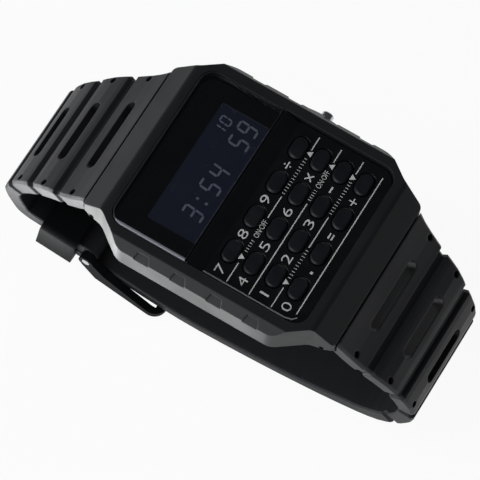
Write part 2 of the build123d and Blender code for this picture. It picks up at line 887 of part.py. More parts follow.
def strap_upper():
    """Strap half at 12 o'clock, with the bore for the buckle bar."""
    route = Route(upper_route(), 1)
    first = slot_first + (upper_slots - 1 / 2) * slot_pitch
    plain = evenly(first, route.length - strap_straight, bend_stations) + [route.length]
    body = strap_body(route, upper_slots, plain, strap_end_thickness)
    body += along_x(strap_end_thickness / 2, strap_width, buckle_y, buckle_z)
    body += strap_root(1)
    body -= along_x(bar_diameter / 2 + bar_fit, 2 * case_width, bar_y, bar_z)
    body -= along_x(buckle_bar_diameter / 2 + bar_fit / 2, 2 * case_width, buckle_y, buckle_z)
    body -= strap_slots(route, upper_slots) + shoulder_slits(1)
    gap = tongue_width / 2 + tongue_gap
    reach = tongue_ring + tongue_gap
    plane = Plane(origin=(0, buckle_y, buckle_z), x_dir=(1, 0, 0), z_dir=(0, lean_z, -lean_y))
    body -= plane * Box(2 * gap, 2 * reach, 2 * strap_thickness)
    return body


def tail_places(route):
    """Lengths along the lower half at which the adjusting holes lie."""
    y, z = buckle_point(tongue_cross_share * buckle_length, tongue_thickness)
    middle = route.nearest(y, z)
    return [middle + n * tail_hole_pitch for n in range(-tail_holes_before - 1, tail_holes_after + 1)]


def buckle_point(along, out):
    """A place in the buckle's own plane, counted from the bar."""
    return beside_bar(out, -along)


def strap_lower():
    """Strap half at 6 o'clock, with adjusting holes and a rounded tail."""
    route = Route(lower_route(), -1)
    first = slot_first + (lower_slots - 1 / 2) * slot_pitch
    plain = evenly(first, route.length - tail_straight, back_stations) + [route.length]
    body = strap_body(route, lower_slots, plain, tail_thickness)
    body += strap_root(-1)
    body -= along_x(bar_diameter / 2 + bar_fit, 2 * case_width, -bar_y, bar_z)
    body -= strap_slots(route, lower_slots) + shoulder_slits(-1)
    for s in tail_places(route):
        (y, z), ahead, inward = route.at(s)
        plane = Plane(origin=(0, y, z), x_dir=(0, ahead[0], ahead[1]), z_dir=(0, inward[0], inward[1]))
        slot = SlotOverall(tail_hole_length, tail_hole_width)
        body -= extrude(plane * slot, 2 * tail_thickness, both=True)
    (y, z), ahead, inward = route.at(route.length)
    plane = Plane(origin=(0, y, z), x_dir=(0, ahead[0], ahead[1]), z_dir=(0, inward[0], inward[1]))
    end = Rectangle(2 * tail_tip, strap_width + overrun)
    tip = fillet((Pos(-tail_tip, 0) * Rectangle(2 * tail_tip, strap_width)).vertices().group_by(Axis.X)[-1],
                 tail_tip * 2 - tolerance)
    return body - extrude(plane * (end - tip), 2 * tail_thickness, both=True)


def buckle_plane():
    """Plane of the buckle: Y runs from bar to front, Z points out of the loop."""
    return Plane(origin=(0, buckle_y, buckle_z), x_dir=(1, 0, 0), z_dir=(0, lean_z, -lean_y))


def buckle_side(end):
    """Side view of the frame: cranked rails that carry the front bar outside the tail."""
    half, bar = buckle_rail_height / 2, buckle_front / 2
    near = buckle_length - buckle_front
    return make_face(Polyline(
        (0, -half), (crank_along, crank_out - half), (near, front_out - bar), (end, front_out - bar),
        (end, front_out + bar), (crank_along - half, crank_out + half), (-half / 2, half), close=True,
    ))


def buckle_frame():
    """Frame with two rails and a front bar, turning on the buckle bar."""
    inner = strap_width + 2 * side_gap
    outer = inner + 2 * buckle_rail
    back = buckle_rail_height / 2
    front = buckle_length + buckle_front / 2
    near = buckle_length - buckle_front / 2
    shape = Pos(0, (front - back) / 2) * Rectangle(outer, front + back)
    shape = fillet(shape.vertices().group_by(Axis.Y)[-1], buckle_corner)
    window = Pos(0, (near - back - overrun) / 2) * Rectangle(inner, near + back + overrun)
    rails = extrude(Plane.YZ * buckle_side(front), outer, both=True)
    rails += Rot(0, 90, 0) * Cylinder(back, 2 * outer)
    frame = rails & extrude(shape - window, buckle_length, both=True)
    frame -= Rot(0, 90, 0) * Cylinder(buckle_bar_diameter / 2 + bar_fit, 2 * outer)
    return buckle_plane() * frame


def buckle_tongue():
    """Cranked tongue: ring on the bar, arm through the strap, tip on the frame."""
    t = tongue_thickness
    over = front_out + buckle_front / 2 + fit_gap / 2
    knee = tongue_knee_share * buckle_length
    rise = tongue_rise_share * buckle_length
    end = buckle_length + tongue_over
    low = ((0, -tongue_dip - t / 2), (knee, -tongue_dip - t / 2), (rise, over), (end, over))
    high = ((end - t / 2, over + t), (rise - t / 2, over + t), (knee - t / 2, -tongue_dip + t / 2),
            (0, -tongue_dip + t / 2))
    arm = make_face(Polyline(*low, *high, close=True))
    arm = extrude(Plane.YZ * arm, tongue_width / 2, both=True)
    ring = Rot(0, 90, 0) * Cylinder(tongue_ring, tongue_width)
    bore = Rot(0, 90, 0) * Cylinder(buckle_bar_diameter / 2 + bar_fit, 2 * tongue_width)
    return buckle_plane() * (ring + arm - bore)


def buckle_bar():
    """Plain pin through strap end, tongue and frame."""
    return along_x(buckle_bar_diameter / 2, strap_width + 2 * side_gap + 2 * buckle_rail,
                   buckle_y, buckle_z)


def keeper():
    """Loose loop round both layers of the strap."""
    low = -strap_end_thickness / 2 - keeper_gap
    high = tail_out + keeper_gap
    w = strap_width / 2 + keeper_gap
    t = keeper_wall
    hole = Pos(0, (low + high) / 2) * Rectangle(2 * w, high - low)
    band = Pos(0, (low + high) / 2) * RectangleRounded(2 * (w + t), high - low + 2 * t, t)
    y, z = beside_bar(0, keeper_offset)
    plane = Plane(origin=(0, y, z), x_dir=(1, 0, 0), z_dir=(0, lean_y, lean_z))
    turned = plane.y_dir.Z < 0
    loop = extrude((band - hole), keeper_length / 2, both=True)
    return plane * (loop if turned else Rot(0, 0, 180) * loop)


def build():
    """All pieces of the watch by name."""
    pieces = {
        "case_shell": case_shell(), "display_lens": display_lens(), "keypad_plate": keypad_plate(),
        "key_mat": key_mat(), "lcd_panel": lcd_panel(), "zebra_strips": zebra_strips(),
        "circuit_board": circuit_board(), "controller_chip": controller_chip(),
        "quartz_crystal": quartz_crystal(), "module_frame": module_frame(),
        "battery": battery(), "battery_clip": battery_clip(), "buzzer_disc": buzzer_disc(),
        "buzzer_spring": buzzer_spring(), "back_gasket": back_gasket(), "case_back": case_back(),
        "back_screws": back_screws(), "mode_button": mode_button(), "button_spring": button_spring(),
        "button_seal": button_seal(), "button_clip": button_clip(),
        "lug_bar_upper": spring_bar(1), "lug_bar_lower": spring_bar(-1),
        "strap_upper": strap_upper(), "strap_lower": strap_lower(),
        "buckle_frame": buckle_frame(), "buckle_tongue": buckle_tongue(),
        "buckle_bar": buckle_bar(), "keeper": keeper(),
    }
    for name, x, y in key_places():
        pieces["key_" + name] = key(x, y)
    return pieces


def solids_of(piece):
    """Every solid of a piece, whatever it is held in."""
    if isinstance(piece, list):
        return [s for p in piece for s in solids_of(p)]
    return list(piece.solids())


for name, piece in build().items():
    solids = solids_of(piece)
    whole = Compound(children=solids) if len(solids) > 1 else solids[0]
    export_step(whole, "parts/" + name + ".step")
    box = whole.bounding_box()
    print(name, len(solids), round(sum(s.volume for s in solids), 2), whole.is_valid,
          [round(v, 2) for v in (*box.min, *box.max)])
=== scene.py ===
# %% [markdown]
# # A calculator watch, worn closed
# The watch's solid parts come ready made as a CAD frame. This script gives them
# their real finishes, prints the keypad, switches the display on, and lights the
# watch as on a product table. One Blender unit is one metre, so sizes below are
# written in millimetres and turned into metres by one factor.

# %% Load the frame
import math

import bpy
from mathutils import Matrix, Vector


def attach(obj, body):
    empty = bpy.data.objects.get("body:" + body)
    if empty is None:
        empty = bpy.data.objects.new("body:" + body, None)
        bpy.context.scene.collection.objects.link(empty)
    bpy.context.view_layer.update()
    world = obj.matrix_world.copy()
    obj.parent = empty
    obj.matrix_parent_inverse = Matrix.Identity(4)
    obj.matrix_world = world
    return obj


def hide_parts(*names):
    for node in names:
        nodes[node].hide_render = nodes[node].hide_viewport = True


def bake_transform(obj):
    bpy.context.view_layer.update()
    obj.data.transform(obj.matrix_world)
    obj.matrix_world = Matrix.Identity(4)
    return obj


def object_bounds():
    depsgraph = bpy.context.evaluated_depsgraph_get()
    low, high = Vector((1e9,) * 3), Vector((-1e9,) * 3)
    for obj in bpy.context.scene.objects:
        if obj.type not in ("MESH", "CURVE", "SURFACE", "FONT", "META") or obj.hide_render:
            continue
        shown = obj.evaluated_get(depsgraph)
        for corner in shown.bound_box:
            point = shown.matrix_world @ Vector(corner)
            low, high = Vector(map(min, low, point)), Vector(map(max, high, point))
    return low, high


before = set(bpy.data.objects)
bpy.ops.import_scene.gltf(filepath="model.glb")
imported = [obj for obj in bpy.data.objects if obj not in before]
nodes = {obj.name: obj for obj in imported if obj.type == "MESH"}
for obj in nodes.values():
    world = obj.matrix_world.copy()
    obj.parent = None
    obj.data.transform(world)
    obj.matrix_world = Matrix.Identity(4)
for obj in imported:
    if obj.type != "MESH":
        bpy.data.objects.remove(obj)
MM = 0.001
cad_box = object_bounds()
low, high = cad_box
extent = [round((h - l) / MM, 1) for l, h in zip(low, high)]
print("frame loaded:", len(nodes), "nodes,", extent, "mm")

# %% [markdown]
# Colours are written the way a designer reads them from a swatch, as sRGB hex.
# Blender's shaders work in linear light, so one function turns one into the other.
# Others add a shader node and set its values by name, start an empty material, and
# give CAD nodes their finish. The last one is the end that most of the materials
# share: a Bevel node rounds the normals at the edges, so that each edge catches a
# thin line of light, and a Bump node raises the grain on top of that.

# %% Colour, node and finish helpers
def srgb(code):
    """Linear colour for Blender from an sRGB hex code."""
    parts = [int(code[i:i + 2], 16) / 255 for i in (0, 2, 4)]
    linear = [c / 12.92 if c <= 0.04045 else ((c + 0.055) / 1.055) ** 2.4 for c in parts]
    return tuple(linear) + (1.0,)


def add_node(tree, kind, **values):
    """One shader node, with its properties and unlinked inputs set by name."""
    node = tree.nodes.new(kind)
    for name, value in values.items():
        if hasattr(node, name):
            setattr(node, name, value)
        else:
            node.inputs[name.replace("_", " ")].default_value = value
    return node


def new_material(name):
    """An empty node material, its tree and its output node."""
    material = bpy.data.materials.new(name)
    material.use_nodes = True
    material.node_tree.nodes.clear()
    output = add_node(material.node_tree, "ShaderNodeOutputMaterial")
    return material, material.node_tree, output


def cover(material, *names):
    """Gives CAD nodes a finish: every face takes this one material."""
    for name in names:
        mesh = nodes[name].data
        mesh.materials.clear()
        mesh.materials.append(material)
    print(material.name, "on", ", ".join(names))


def per_mm(millimetres):
    """Noise scale whose features are about this many millimetres across."""
    return 1 / (millimetres * MM)


def round_and_grain(tree, output, shader, grain, edge_mm, strength, height_mm, samples=6):
    """Rounds the edges and raises the grain under a shader, and connects it."""
    edge = add_node(tree, "ShaderNodeBevel", samples=samples, Radius=edge_mm * MM)
    bump = add_node(tree, "ShaderNodeBump", Strength=strength, Distance=height_mm * MM)
    tree.links.new(grain.outputs["Fac"], bump.inputs["Height"])
    tree.links.new(edge.outputs["Normal"], bump.inputs["Normal"])
    tree.links.new(bump.outputs["Normal"], shader.inputs["Normal"])
    tree.links.new(shader.outputs["BSDF"], output.inputs["Surface"])


print("helpers ready")

# %% [markdown]
# The case and strap are injection-moulded resin. The mould is spark-eroded, which
# leaves a very fine grain, so the surface is matte and its highlights are wide.
# A fine noise drives a small bump, and a slower one varies roughness and colour a
# little, as handling and the flow of the resin do. Ambient Occlusion measures how
# closed in a spot is. Map Range turns that into painted shade, a darker colour and
# a weaker shine, since little light comes back out of a hollow in black resin, such
# as a groove, a slot or the inside of the strap's loop.

# %% Moulded resin
flow_mm = 7.0
cavity_mm = 42.0
darkest_painted_shade = 0.35


def moulded_resin(name, colour, worn, rough, grain_mm, height_mm, specular, edge_mm):
    """Matte moulded plastic with a spark-eroded grain, a little polished by wear, and painted
    shade in its hollows.
    """
    material, tree, output = new_material(name)
    links = tree.links
    place = add_node(tree, "ShaderNodeTexCoord")
    grain = add_node(tree, "ShaderNodeTexNoise", Scale=per_mm(grain_mm), Detail=3.0)
    flow = add_node(tree, "ShaderNodeTexNoise", Scale=per_mm(flow_mm), Detail=3.0)
    spread = add_node(tree, "ShaderNodeMapRange", From_Min=0.3, From_Max=0.7,
                      To_Min=rough - 0.05, To_Max=rough + 0.06)
    shade = add_node(tree, "ShaderNodeMixRGB", Color1=srgb(colour), Color2=srgb(worn))
    # Painted shade: Ambient Occlusion darkens the colour and the shine in hollows.
    corner = add_node(tree, "ShaderNodeAmbientOcclusion", samples=6, Distance=cavity_mm * MM)
    depth = add_node(tree, "ShaderNodeMapRange", From_Min=0.25, From_Max=0.90,
                     To_Min=darkest_painted_shade, To_Max=1.0)
    painted_shade_colour = add_node(tree, "ShaderNodeMixRGB", blend_type="MULTIPLY", Fac=1.0)
    painted_shade_shine = add_node(tree, "ShaderNodeMath", operation="MULTIPLY")
    painted_shade_shine.inputs[1].default_value = specular
    shader = add_node(tree, "ShaderNodeBsdfPrincipled")
    links.new(place.outputs["Object"], grain.inputs["Vector"])
    links.new(place.outputs["Object"], flow.inputs["Vector"])
    links.new(flow.outputs["Fac"], spread.inputs["Value"])
    links.new(flow.outputs["Fac"], shade.inputs["Fac"])
    links.new(corner.outputs["AO"], depth.inputs["Value"])
    links.new(shade.outputs["Color"], painted_shade_colour.inputs["Color1"])
    links.new(depth.outputs["Result"], painted_shade_colour.inputs["Color2"])
    links.new(depth.outputs["Result"], painted_shade_shine.inputs[0])
    links.new(painted_shade_colour.outputs["Color"], shader.inputs["Base Color"])
    links.new(painted_shade_shine.outputs["Value"], shader.inputs["Specular IOR Level"])
    links.new(spread.outputs["Result"], shader.inputs["Roughness"])
    round_and_grain(tree, output, shader, grain, edge_mm, 0.6, height_mm)
    return material


case_resin = moulded_resin("case resin, spark-eroded mould", "1e1f21", "232426", rough=0.45,
                           grain_mm=0.10, height_mm=0.003, specular=0.19, edge_mm=0.30)
strap_resin = moulded_resin("strap resin, soft matte", "1c1d20", "222327", rough=0.48,
                            grain_mm=0.14, height_mm=0.004, specular=0.26, edge_mm=0.35)
# The buckle and keeper are painted darker than the strap and given almost no shine: painted shade,
# where the strap's loop shades them.
buckle_resin_painted_shade = moulded_resin("buckle resin, matt, darkened as painted shade", "101113", "151618", rough=0.50,
                             grain_mm=0.12, height_mm=0.003, specular=0.05, edge_mm=0.25)
cover(case_resin, "case_shell")
cover(strap_resin, "strap_upper", "strap_lower")
cover(buckle_resin_painted_shade, "buckle_frame", "keeper")

# %% [markdown]
# The keypad panel and the keys come out of a polished mould and are glossy. The
# keys are a shade lighter than the panel, and fingers have dulled their crowns a
# little, which the slow noise in their roughness shows.

# %% Glossy mouldings
def gloss_plastic(name, colour, worn, rough, edge_mm, specular):
    """Polished black plastic with a faint orange peel and finger wear."""
    material, tree, output = new_material(name)
    links = tree.links
    place = add_node(tree, "ShaderNodeTexCoord")
    peel = add_node(tree, "ShaderNodeTexNoise", Scale=per_mm(1.5), Detail=1.0)
    wear = add_node(tree, "ShaderNodeTexNoise", Scale=per_mm(2.5), Detail=4.0)
    spread = add_node(tree, "ShaderNodeMapRange", From_Min=0.35, From_Max=0.7,
                      To_Min=rough, To_Max=rough + 0.12)
    shade = add_node(tree, "ShaderNodeMixRGB", Color1=srgb(colour), Color2=srgb(worn))
    shader = add_node(tree, "ShaderNodeBsdfPrincipled", Specular_IOR_Level=specular)
    links.new(place.outputs["Object"], peel.inputs["Vector"])
    links.new(place.outputs["Object"], wear.inputs["Vector"])
    links.new(wear.outputs["Fac"], spread.inputs["Value"])
    links.new(wear.outputs["Fac"], shade.inputs["Fac"])
    links.new(shade.outputs["Color"], shader.inputs["Base Color"])
    links.new(spread.outputs["Result"], shader.inputs["Roughness"])
    round_and_grain(tree, output, shader, peel, edge_mm, 0.15, 0.01)
    return material


panel_gloss = gloss_plastic("keypad panel, polished black", "0a0b0e", "0e0f12",
                            rough=0.16, edge_mm=0.20, specular=0.5)
key_gloss = gloss_plastic("keys, polished charcoal", "111318", "15171b",
                          rough=0.34, edge_mm=0.14, specular=0.30)
keys = [name for name in nodes if name.startswith("key_") and name != "key_mat"]
cover(panel_gloss, "keypad_plate")
cover(key_gloss, *keys)

# %% [markdown]
# The window is clear plastic. A mix of a transparent and a glossy shader, weighted
# by Fresnel, lets light through to the display below and still mirrors the studio
# at a glance. Along its 9 o'clock side a second mix turns it into a plain pale
# diffuse, by the object's own X coordinate: a painted highlight on the rim.

# %% Clear window
highlight_from, highlight_to = -13.92, -14.10


def clear_window(name, tint, window_rim_highlight, rough):
    """Clear sheet: see-through face on, mirror-like at a glance, with a painted highlight at one
    side.
    """
    material, tree, output = new_material(name)
    links = tree.links
    place = add_node(tree, "ShaderNodeTexCoord")
    wipe = add_node(tree, "ShaderNodeTexNoise", Scale=per_mm(4.0), Detail=5.0)
    smear = add_node(tree, "ShaderNodeMapRange", From_Min=0.4, From_Max=0.7,
                     To_Min=rough, To_Max=rough + 0.02)
    glance = add_node(tree, "ShaderNodeFresnel", IOR=1.49)
    through = add_node(tree, "ShaderNodeBsdfTransparent", Color=srgb(tint))
    shine = add_node(tree, "ShaderNodeBsdfGlossy", Color=srgb("ffffff"))
    clear = add_node(tree, "ShaderNodeMixShader")
    axes = add_node(tree, "ShaderNodeSeparateXYZ")
    # The pale diffuse band along the 9 o'clock rim is a painted highlight.
    margin = add_node(tree, "ShaderNodeMapRange", From_Min=highlight_from * MM,
                      From_Max=highlight_to * MM)
    painted_rim_highlight = add_node(tree, "ShaderNodeBsdfDiffuse", Color=srgb(window_rim_highlight))
    sheet = add_node(tree, "ShaderNodeMixShader")
    links.new(place.outputs["Object"], wipe.inputs["Vector"])
    links.new(wipe.outputs["Fac"], smear.inputs["Value"])
    links.new(smear.outputs["Result"], shine.inputs["Roughness"])
    links.new(glance.outputs["Fac"], clear.inputs["Fac"])
    links.new(through.outputs["BSDF"], clear.inputs[1])
    links.new(shine.outputs["BSDF"], clear.inputs[2])
    links.new(place.outputs["Object"], axes.inputs["Vector"])
    links.new(axes.outputs["X"], margin.inputs["Value"])
    links.new(margin.outputs["Result"], sheet.inputs["Fac"])
    links.new(clear.outputs["Shader"], sheet.inputs[1])
    links.new(painted_rim_highlight.outputs["BSDF"], sheet.inputs[2])
    links.new(sheet.outputs["Shader"], output.inputs["Surface"])
    return material


cover(clear_window("window, clear acrylic", "eef0f4", "85888e", 0.04), "display_lens")

# %% [markdown]
# The strap is resin that flexes, and its tail stays threaded through the buckle. So
# the 6 o'clock half is copied into a piece of its own, which takes the place of the
# CAD half, now hidden.

# %% Strap half, copied
half_mesh = nodes["strap_lower"].data.copy()
flexing = bpy.data.objects.new("strap_lower_flexing", half_mesh)
bpy.context.collection.objects.link(flexing)
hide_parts("strap_lower")
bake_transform(flexing)
print("flexing strap half:", len(half_mesh.vertices), "vertices")

# %% [markdown]
# Everything else shares one recipe: two close shades mixed by a noise, a roughness
# that follows the same noise, and a bump. Stretching the noise along one axis turns
# it into brushed metal, and a fine even noise turns it into rubber or moulding.

# %% Other finishes
def finish(name, colour, other, grain_mm, rough, metal=0.0, bump_mm=0.002,
           stretch=(1, 1, 1), specular=0.5):
    """Two shades, roughness and bump from one noise, which may be stretched."""
    material, tree, output = new_material(name)
    links = tree.links
    place = add_node(tree, "ShaderNodeTexCoord")
    turn = add_node(tree, "ShaderNodeMapping", Scale=stretch)
    grain = add_node(tree, "ShaderNodeTexNoise", Scale=per_mm(grain_mm), Detail=4.0)
    shade = add_node(tree, "ShaderNodeMixRGB", Color1=srgb(colour), Color2=srgb(other))
    spread = add_node(tree, "ShaderNodeMapRange", From_Min=0.3, From_Max=0.7,
                      To_Min=rough - 0.06, To_Max=rough + 0.08)
    shader = add_node(tree, "ShaderNodeBsdfPrincipled", Metallic=metal,
                      Specular_IOR_Level=specular)
    links.new(place.outputs["Object"], turn.inputs["Vector"])
    links.new(turn.outputs["Vector"], grain.inputs["Vector"])
    links.new(grain.outputs["Fac"], shade.inputs["Fac"])
    links.new(grain.outputs["Fac"], spread.inputs["Value"])
    links.new(shade.outputs["Color"], shader.inputs["Base Color"])
    links.new(spread.outputs["Result"], shader.inputs["Roughness"])
    round_and_grain(tree, output, shader, grain, 0.08, 0.5, bump_mm, samples=4)
    return material


cover(finish("back plate, brushed steel", "b4b5b4", "c8c9c8", 0.12, 0.30, metal=1.0,
             stretch=(0.04, 1, 1)), "case_back")
cover(finish("turned steel, bright", "bdbebd", "cfcfce", 0.10, 0.22, metal=1.0, bump_mm=0.001),
      "back_screws", "mode_button", "lug_bar_upper", "lug_bar_lower", "buckle_bar")
cover(finish("pressed spring steel", "a9aaa8", "bbbcba", 0.25, 0.34, metal=1.0,
             stretch=(1, 0.1, 1)),
      "battery_clip", "button_clip", "button_spring", "buzzer_spring", "buckle_tongue")
cover(finish("seal rubber, black", "0c0c0c", "131313", 0.20, 0.60, bump_mm=0.006),
      "back_gasket", "button_seal")
cover(finish("keypad mat, grey silicone", "7c7c79", "878783", 0.30, 0.55, bump_mm=0.006),
      "key_mat")
cover(finish("connector rubber, striped", "3a3a3c", "b9b7b0", 0.12, 0.50, bump_mm=0.003,
             stretch=(1, 0.02, 0.02)), "zebra_strips")
cover(finish("cell can, nickel plated", "c2c2be", "d2d2cd", 0.15, 0.22, metal=1.0,
             bump_mm=0.001, stretch=(0.1, 1, 1)), "battery")
cover(finish("crystal can, tinned", "b0b2b0", "c4c6c4", 0.20, 0.28, metal=1.0, bump_mm=0.001),
      "quartz_crystal")
cover(finish("chip epoxy, black", "0d0d0e", "161617", 0.08, 0.45, bump_mm=0.004),
      "controller_chip")
cover(finish("module moulding, natural", "bdbcb3", "c9c8bf", 0.25, 0.45, bump_mm=0.004),
      "module_frame")
cover(finish("buzzer disc, brass", "b08d4f", "c9a662", 0.30, 0.30, metal=1.0), "buzzer_disc")

# %% [markdown]
# The circuit board is glass fibre under a green lacquer. The joints of a brick
# pattern give the copper tracks, which show through the lacquer as a lighter green.

# %% Circuit board
def board_lacquer(name, green, other, track):
    """Green solder mask with faint copper tracks under it."""
    material, tree, output = new_material(name)
    links = tree.links
    place = add_node(tree, "ShaderNodeTexCoord")
    tracks = add_node(tree, "ShaderNodeTexBrick", Scale=per_mm(3.0), Color1=srgb(green),
                      Color2=srgb(other), Mortar=srgb(track), Mortar_Size=0.03)
    bump = add_node(tree, "ShaderNodeBump", Strength=0.3, Distance=0.02 * MM)
    shader = add_node(tree, "ShaderNodeBsdfPrincipled", Roughness=0.32)
    links.new(place.outputs["Object"], tracks.inputs["Vector"])
    links.new(tracks.outputs["Color"], shader.inputs["Base Color"])
    links.new(tracks.outputs["Fac"], bump.inputs["Height"])
    links.new(bump.outputs["Normal"], shader.inputs["Normal"])
    links.new(shader.outputs["BSDF"], output.inputs["Surface"])
    return material


cover(board_lacquer("board laminate, green lacquer", "17492f", "1b5536", "3f8a58"),
      "circuit_board")

# %% [markdown]
# Printing and the display are thin flat pieces at exact heights over the back of
# the case. A flat piece is drawn as a 2D curve of closed rings, outlines first and
# then holes, is given a thickness, and is turned into a mesh that rides on the case.

# %% Shapes in the plane of the face
glass_z, figures_z, mask_z, border_z = 6.862, 6.872, 6.884, 6.893
glass_thick, figures_thick, mask_thick, border_thick = 0.008, 0.006, 0.01, 0.004
print_z, legend_z, print_thick = 6.956, 6.957, 0.01


def join_case(name, mesh, material, z=0.0):
    """A named object from a mesh, with its material, that rides on the case."""
    piece = bpy.data.objects.new(name, mesh)
    bpy.context.collection.objects.link(piece)
    piece.location = (0, 0, z * MM)
    mesh.materials.append(material)
    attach(piece, "case")


def flat_piece(name, rings, z, thickness, material):
    """A thin sheet from closed rings of (x, y) in millimetres: outlines, then holes."""
    shape = bpy.data.curves.new(name, "CURVE")
    shape.dimensions = "2D"
    shape.fill_mode = "BOTH"
    for ring in rings:
        line = shape.splines.new("POLY")
        line.points.add(len(ring) - 1)
        for point, (x, y) in zip(line.points, ring):
            point.co = (x * MM, y * MM, 0, 1)
        line.use_cyclic_u = True
    shape.extrude = thickness / 2 * MM
    source = bpy.data.objects.new(name + "_curve", shape)
    mesh = bpy.data.meshes.new_from_object(source)
    bpy.data.objects.remove(source)
    bpy.data.curves.remove(shape)
    join_case(name, mesh, material, z)


def box_ring(x0, x1, y0, y1):
    """Outline of a plain rectangle."""
    return [(x0, y0), (x1, y0), (x1, y1), (x0, y1)]


def dot_ring(x, y, size):
    """Outline of a small square dot."""
    return box_ring(x - size / 2, x + size / 2, y - size / 2, y + size / 2)


def rounded_ring(x0, x1, y0, y1, corner, far_only=False):
    """Outline of a rectangle with rounded corners, all four or the two far ones."""
    steps = 8
    ring = []
    for cx, cy, start in ((x1, y1, 0), (x0, y1, 90), (x0, y0, 180), (x1, y0, 270)):
        if far_only and cy == y0:
            ring.append((cx, cy))
            continue
        mx = cx - corner if cx == x1 else cx + corner
        my = cy - corner if cy == y1 else cy + corner
        for step in range(steps + 1):
            angle = math.radians(start + 90 * step / steps)
            ring.append((mx + corner * math.cos(angle), my + corner * math.sin(angle)))
    return ring


def layer_and_highlight_finish(name, colour, other, rough=0.35, grain_mm=0.20, specular=0.2):
    """A printed or polished layer, or a painted highlight, that has hardly any grain to feel."""
    return finish(name, colour, other, grain_mm, rough, bump_mm=0.0005, specular=specular)


print("flat shapes ready, layers from", glass_z, "to", legend_z, "mm")

# %% [markdown]
# Just under the window lies a black printed mask with an opening, and under that
# the display's glass. Two thin lines round the opening are painted highlights, pale
# colour where the cut edges of the real glass catch the light. These layers are a
# hair's breadth apart.

# %% Display glass and its mask
opening = (-10.85, 10.85, 3.46, 11.9)  # x from and to, y from and to
mask_sheet = (-14.25, 14.25, 3.34, 16.45)
glass_sheet = (-11.1, 11.1, 3.4, 12.1)
side_line, low_line = (10.72, 10.98, 3.5, 11.8), (-10.8, 10.9, 3.60, 3.73)
mask_corner, glass_corner = 2.2, 0.25
mask_ink = layer_and_highlight_finish("window mask, black print", "030304", "050506", rough=0.30, specular=0.1)
# The two border lines are painted highlights on the cut edges of the display glass.
side_highlight = layer_and_highlight_finish("display edge, dark grey painted highlight", "3c3f45", "44474d")
low_highlight = layer_and_highlight_finish("display edge, pale painted highlight", "777a80", "82858b")
polariser = layer_and_highlight_finish("display glass, dark blue polariser", "2e3547", "313849", rough=0.22,
                       grain_mm=3.0, specular=0.5)
mask_rings = [rounded_ring(*mask_sheet, mask_corner, far_only=True),
              rounded_ring(*opening, glass_corner)]
glass_rings = [rounded_ring(*glass_sheet, glass_corner)]
flat_piece("window_mask", mask_rings, mask_z, mask_thick, mask_ink)
flat_piece("display_glass", glass_rings, glass_z, glass_thick, polariser)
cover(polariser, "lcd_panel")
flat_piece("display_side_edge", [box_ring(*side_line)], border_z, border_thick, side_highlight)
flat_piece("display_low_edge", [box_ring(*low_line)], border_z, border_thick, low_highlight)
print("mask and border under the window, opening", round(opening[1] - opening[0], 1), "mm wide")

# %% [markdown]
# The display shows a time in plain seven-bar figures. Each bar is a six-sided
# sliver, and a table says which bars make which figure. The display is of the
# inverse kind, so its figures are pale on dark blue.

# %% Display figures
bars = {"0": "abcdef", "1": "bc", "2": "abged", "3": "abgcd", "4": "fgbc", "5": "afgcd",
        "6": "afgedc", "7": "abc", "8": "abcdefg", "9": "abcdfg"}


def bar_ring(x0, y0, x1, y1, thick):
    """Six-sided sliver between two ends."""
    length = math.hypot(x1 - x0, y1 - y0)
    ux, uy = (x1 - x0) / length, (y1 - y0) / length
    gap, t = thick * 0.12, thick / 2
    ends = ((gap, 0), (gap + t, t), (length - gap - t, t),
            (length - gap, 0), (length - gap - t, -t), (gap + t, -t))
    return [(x0 + ux * a - uy * b, y0 + uy * a + ux * b) for a, b in ends]


def figure_rings(figure, x, y, width, height, thick):
    """Bars of one figure centred on (x, y), leaning a little like a real display."""
    slant = 0.10
    w, h = width / 2 - thick / 2, height / 2 - thick / 2
    ends = {"a": (-w, h, w, h), "b": (w, h, w, 0), "c": (w, 0, w, -h), "d": (w, -h, -w, -h),
            "e": (-w, -h, -w, 0), "f": (-w, 0, -w, h), "g": (-w, 0, w, 0)}
    rings = []
    for bar in bars[figure]:
        ring = bar_ring(*ends[bar], thick)
        rings.append([(x + a + slant * b, y + b) for a, b in ring])
    return rings


# Width, height and bar of the figures for hours and minutes, seconds, and the date
large, seconds = (1.75, 3.5, 0.36), (1.75, 3.4, 0.36)
date_one, date_other, dot_size = (1.2, 2.0, 0.26), (1.3, 2.0, 0.26), 0.42
figures = [("3", -6.85, 6.4, *large), ("5", -1.85, 6.4, *large), ("4", 0.85, 6.4, *large),
           ("5", 6.5, 6.45, *seconds), ("9", 9.05, 6.45, *seconds),
           ("1", 6.8, 9.95, *date_one), ("0", 8.6, 9.95, *date_other)]
rings = [ring for figure in figures for ring in figure_rings(*figure)]
rings += [dot_ring(-4.4, 7.08, dot_size), dot_ring(-4.5, 5.5, dot_size)]
lit = layer_and_highlight_finish("display figures, pale liquid crystal", "a2a6b2", "aaaeba", rough=0.45,
                 grain_mm=1.0, specular=0.5)
flat_piece("display_figures", rings, figures_z, figures_thick, lit)
print("display figures:", len(figures), "and two dots")

# %% [markdown]
# The cut edges of the window are ground matte. A mesh can carry several materials,
# and each face says which one it takes, so the faces that stand upright are found by
# their normals: those towards 9 o'clock take a paler copy of the finish, a painted
# highlight where they face the light.

# %% Window edges
# The paler edge finish is a painted highlight on the faces towards the light.
edge_highlight = finish("window edge, ground matte, painted highlight", "7d8086", "8c8f95", 0.20, 0.35, bump_mm=0.001)
cut_edge = finish("window edge, ground matte", "1e2023", "2a2c30", 0.20, 0.35, bump_mm=0.001)
window = nodes["display_lens"].data
window.materials.append(edge_highlight)
window.materials.append(cut_edge)
for face in window.polygons:
    if abs(face.normal.z) < 0.9:
        face.material_index = 1 if face.normal.x < -0.6 else 2
print("window edge faces:", sum(face.material_index > 0 for face in window.polygons))

# %% [markdown]
# The legends are printed in off-white ink. Figures come from Blender's own font,
# turned into a mesh and stretched to the wide proportions of a keypad's print.

